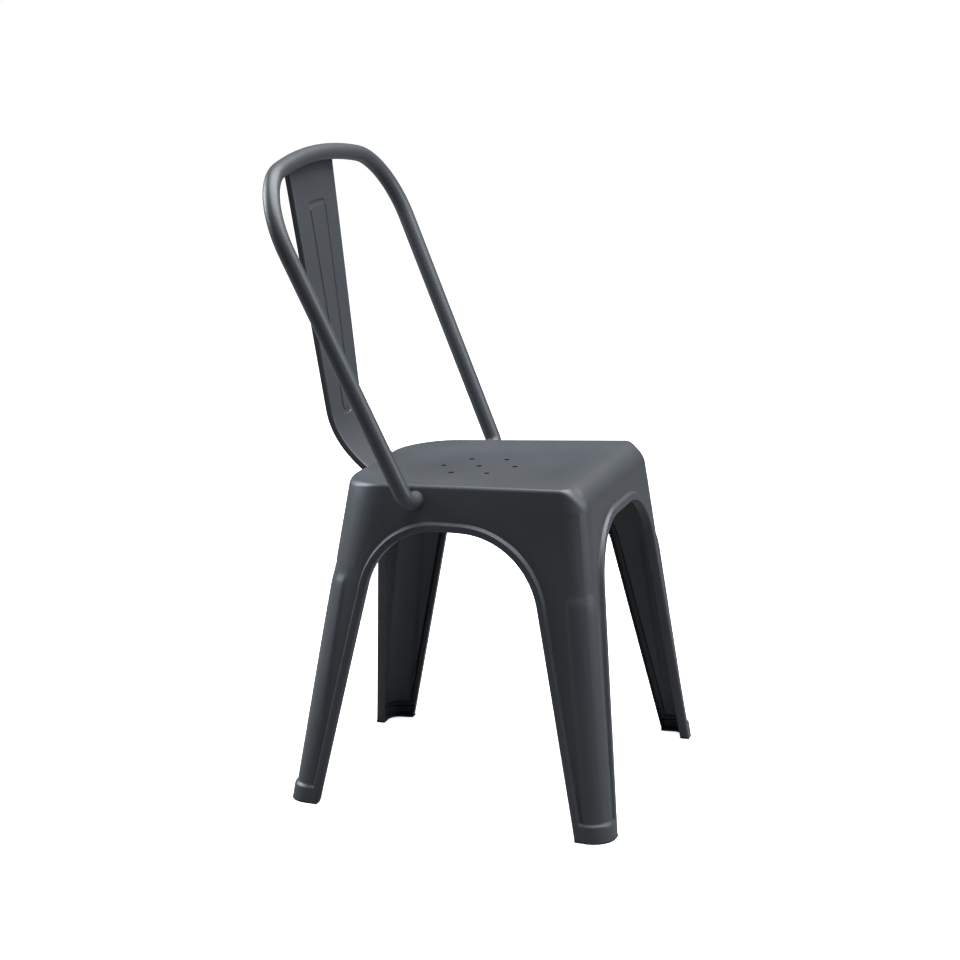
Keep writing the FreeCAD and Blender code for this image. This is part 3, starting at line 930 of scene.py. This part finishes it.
class CHAIR_OT_slat(bpy.types.Operator):
    """Tapered slat with folded edges and a groove pressed in its face as a loop"""

    bl_idname = "chair.slat"
    bl_label = "Back slat"

    def execute(self, context):
        body = Body(context.scene.chair_body)
        back = context.scene.chair_back
        rows = []
        for spot, behind in self.side_view(body, back):
            rows.append(self.row(body, back, spot, behind))
        points = [p for row in rows for p in row]
        faces = grid_faces(len(rows), len(rows[0]))
        piece = new_piece("folded_slat", points, faces, coat_material(), "seat_coat", "back_splat")
        outward(piece, Vector((0, 0.6, 0.65)))
        thicken(piece, body.s.sheet)
        bake(piece)
        return {"FINISHED"}

    def side_view(self, body, back):
        """Places of the slat's face and the direction behind it, from top to foot."""
        s = body.s
        slope = math.atan(back.slat_lean)
        down = Vector((0, -math.sin(slope), -math.cos(slope)))
        behind = Vector((0, math.cos(slope), -math.sin(slope)))

        def straight(z):
            return Vector((0, back.slat_y + back.slat_lean * (z - s.seat_level), z))

        foot_y = s.seat_rear - bpy.context.scene.chair_seat.rear_edge
        foot = Vector((0, foot_y, body.rim_at(foot_y)))
        bend = straight(back.bend_level)
        corner = bend + down * ((bend.z - foot.z) * back.foot_sweep)
        under_loop = back.loop_top - back.groove_width - MM
        levels = spaced(back.slat_top, back.loop_top + MM, 7)
        levels += spaced(back.loop_top, under_loop, 22)
        levels += spaced(under_loop - MM, back.loop_top - 2 * back.loop_corner, 10)
        levels += spaced(back.loop_top - 2 * back.loop_corner - 6 * MM, back.bend_level, 34)
        places = [(straight(z), behind) for z in levels]
        for share in spaced(0, 0.22, 32)[1:] + spaced(0.22, 1, 28)[1:]:
            spot = bend * (1 - share) ** 2 + corner * (2 * share * (1 - share)) + foot * share**2
            run = ((corner - bend) * (1 - share) + (foot - corner) * share).normalized()
            places.append((spot, Vector((0, -run.z, run.y))))
        return places

    def half_width(self, body, back, z):
        share = (z - body.s.seat_level) / (back.slat_top - body.s.seat_level)
        return (back.slat_foot_width + (back.slat_top_width - back.slat_foot_width) * share) / 2

    def loop_half(self, back, z):
        share = (z - back.loop_foot) / (back.loop_top - back.loop_foot)
        return (back.loop_foot_width + (back.loop_top_width - back.loop_foot_width) * share) / 2

    def pressed(self, back, x, z):
        """Depth of the pressed loop's groove at a place on the slat."""
        half_height = (back.loop_top - back.loop_foot) / 2
        middle = (back.loop_top + back.loop_foot) / 2
        dx = abs(x) - self.loop_half(back, z) + back.loop_corner
        dz = abs(z - middle) - half_height + back.loop_corner
        outside = math.hypot(max(dx, 0), max(dz, 0)) + min(max(dx, dz), 0) - back.loop_corner
        inner = smoothstep(-back.groove_width, back.groove_slope - back.groove_width, outside)
        outer = smoothstep(-back.groove_slope, 0, outside)
        return back.groove_depth * (inner - outer)

    def row(self, body, back, spot, behind):
        """Points across the slat, from one folded edge to the other."""
        half = self.half_width(body, back, spot.z)
        loop = min(self.loop_half(back, spot.z), half - 12 * MM)
        flat = half - back.fold_radius
        inner = loop - back.groove_width
        right = spaced(0, inner, 6)
        right += spaced(inner, inner + back.groove_slope, 6)[1:]
        right += spaced(loop - back.groove_slope, loop, 6)
        right += spaced(loop, flat, 7)[1:]
        across = [(x, self.pressed(back, x, spot.z)) for x in right]
        for angle in spaced(0, math.pi / 2, 5)[1:]:
            x = flat + back.fold_radius * math.sin(angle)
            across.append((x, back.fold_radius * (1 - math.cos(angle))))
        for depth in spaced(back.fold_radius, back.slat_flange, 4)[1:]:
            across.append((half, depth))
        points = [spot + Vector((x, 0, 0)) + behind * depth for x, depth in across]
        mirrored = [Vector((-p.x, p.y, p.z)) for p in points[:0:-1]]
        return mirrored + points


class CHAIR_OT_stage(bpy.types.Operator):
    """Floor, soft lights and the camera"""

    bl_idname = "chair.stage"
    bl_label = "Stage"

    def execute(self, context):
        self.floor(context)
        self.lights(context)
        self.camera(context)
        return {"FINISHED"}

    def floor(self, context):
        """White floor that keeps the chair's shadow and reads as plain white to the camera."""
        looks = context.scene.chair_looks
        mesh = bpy.data.meshes.new("floor")
        reach = 12.0
        corners = [(-reach, -reach, 0), (reach, -reach, 0), (reach, reach, 0), (-reach, reach, 0)]
        mesh.from_pydata(corners, [], [(0, 1, 2, 3)])
        material = blank_material("white_floor")
        tree = material.node_tree
        matt = add_node(tree, "ShaderNodeBsdfDiffuse", (-200, 100), Color=looks.floor)
        place = add_node(tree, "ShaderNodeTexCoord", (-800, -60)).outputs["Object"]
        away = add_node(tree, "ShaderNodeVectorMath", (-600, -60), [("Vector", place)], OPERATION="LENGTH")
        fade = add_node(
            tree,
            "ShaderNodeMapRange",
            (-400, -60),
            [("Value", away.outputs["Value"])],
            From_Min=0.8,
            From_Max=2.5,
            To_Min=looks.floor_glow,
            To_Max=1.0,
        )
        glow = add_node(
            tree, "ShaderNodeEmission", (-200, -60), [("Strength", fade.outputs["Result"])], Color=looks.floor
        )
        both = add_node(tree, "ShaderNodeAddShader", (0, 40))
        tree.links.new(matt.outputs[0], both.inputs[0])
        tree.links.new(glow.outputs[0], both.inputs[1])
        seen = add_node(tree, "ShaderNodeLightPath", (-200, 340)).outputs["Is Camera Ray"]
        pick = add_node(tree, "ShaderNodeMixShader", (200, 100), [("Fac", seen)])
        dull = add_node(tree, "ShaderNodeBsdfDiffuse", (-200, 220), Color=looks.floor_bounce)
        tree.links.new(dull.outputs[0], pick.inputs[1])
        tree.links.new(both.outputs[0], pick.inputs[2])
        add_node(tree, "ShaderNodeOutputMaterial", (400, 100), [("Surface", pick.outputs[0])])
        mesh.materials.append(material)
        plane = bpy.data.objects.new("floor", mesh)
        context.scene.collection.objects.link(plane)

    def lights(self, context):
        """Large soft lights overhead, in front and behind, and a dim even surround."""
        world = bpy.data.worlds.new("surround")
        context.scene.world = world
        world.use_nodes = True
        tree = world.node_tree
        tree.nodes.clear()
        seen = add_node(tree, "ShaderNodeLightPath", (-400, 200)).outputs["Is Camera Ray"]
        white = add_node(tree, "ShaderNodeBackground", (-200, 0), Color=(1, 1, 1, 1), Strength=1.0)
        dim = add_node(tree, "ShaderNodeBackground", (-200, -160), Color=(0.85, 0.92, 1, 1), Strength=0.08)
        pick = add_node(tree, "ShaderNodeMixShader", (0, 0), [("Fac", seen)])
        tree.links.new(dim.outputs[0], pick.inputs[1])
        tree.links.new(white.outputs[0], pick.inputs[2])
        add_node(tree, "ShaderNodeOutputWorld", (200, 0), [("Surface", pick.outputs[0])])
        aim = Vector((0, 0, 0.45))
        for name, place, size, power, tint in (
            ("overhead", Vector((0.3, -0.5, 2.5)), 2.4, 150.0, (0.94, 0.97, 1.0)),
            ("front", Vector((0.4, -3.0, 1.6)), 1.8, 50.0, (0.82, 0.91, 1.0)),
            ("rear", Vector((0.2, 3.0, 1.8)), 1.8, 128.0, (0.84, 0.92, 1.0)),
        ):
            lamp = bpy.data.lights.new(name, "AREA")
            lamp.shape = "SQUARE"
            lamp.size = size
            lamp.energy = power
            lamp.color = tint
            thing = bpy.data.objects.new(name, lamp)
            thing.location = place
            thing.rotation_euler = (aim - place).to_track_quat("-Z", "Y").to_euler()
            context.scene.collection.objects.link(thing)

    def camera(self, context):
        """Camera at the photograph's angle, from its fitted place, turn and lens."""
        place = Vector((-2.85462, -0.95855, 1.08319))
        azimuth = math.radians(-71.391)
        elevation = math.radians(12.651)
        roll = math.radians(-1.053)
        back = Vector(
            (
                math.sin(azimuth) * math.cos(elevation),
                -math.cos(azimuth) * math.cos(elevation),
                math.sin(elevation),
            )
        )
        right = Vector((math.cos(azimuth), math.sin(azimuth), 0))
        up = back.cross(right)
        turned_right = right * math.cos(roll) + up * math.sin(roll)
        turned_up = up * math.cos(roll) - right * math.sin(roll)
        lens = bpy.data.cameras.new("camera")
        lens.sensor_width = 36.0
        lens.lens = 86.5
        lens.clip_end = 100
        camera = bpy.data.objects.new("camera", lens)
        camera.matrix_world = Matrix.Translation(place) @ Matrix(
            (turned_right, turned_up, back)
        ).transposed().to_4x4()
        context.scene.collection.objects.link(camera)
        context.scene.camera = camera
        context.scene.view_settings.view_transform = "Standard"


class CHAIR_PT_panel(bpy.types.Panel):
    """Lists the chair's pieces"""

    bl_label = "Bistro chair"
    bl_idname = "CHAIR_PT_panel"
    bl_space_type = "VIEW_3D"
    bl_region_type = "UI"
    bl_category = "Chair"

    def draw(self, context):
        for operator in OPERATORS:
            self.layout.operator(operator.bl_idname)


GROUPS = {
    "chair_body": ChairBody,
    "chair_legs": ChairLegs,
    "chair_seat": ChairSeat,
    "chair_back": ChairBack,
    "chair_looks": ChairLooks,
}
OPERATORS = (
    CHAIR_OT_legs,
    CHAIR_OT_glides,
    CHAIR_OT_brace,
    CHAIR_OT_seat,
    CHAIR_OT_hoop,
    CHAIR_OT_slat,
    CHAIR_OT_stage,
)


def register():
    for name, group in GROUPS.items():
        bpy.utils.register_class(group)
        setattr(bpy.types.Scene, name, bpy.props.PointerProperty(type=group))
    for operator in OPERATORS:
        bpy.utils.register_class(operator)
    bpy.utils.register_class(CHAIR_PT_panel)


def unregister():
    bpy.utils.unregister_class(CHAIR_PT_panel)
    for operator in reversed(OPERATORS):
        bpy.utils.unregister_class(operator)
    for name, group in reversed(GROUPS.items()):
        delattr(bpy.types.Scene, name)
        bpy.utils.unregister_class(group)


def main():
    register()
    bpy.ops.chair.legs()
    bpy.ops.chair.glides()
    bpy.ops.chair.brace()
    bpy.ops.chair.seat()
    bpy.ops.chair.hoop()
    bpy.ops.chair.slat()
    bpy.ops.chair.stage()


if __name__ == "__main__":
    main()
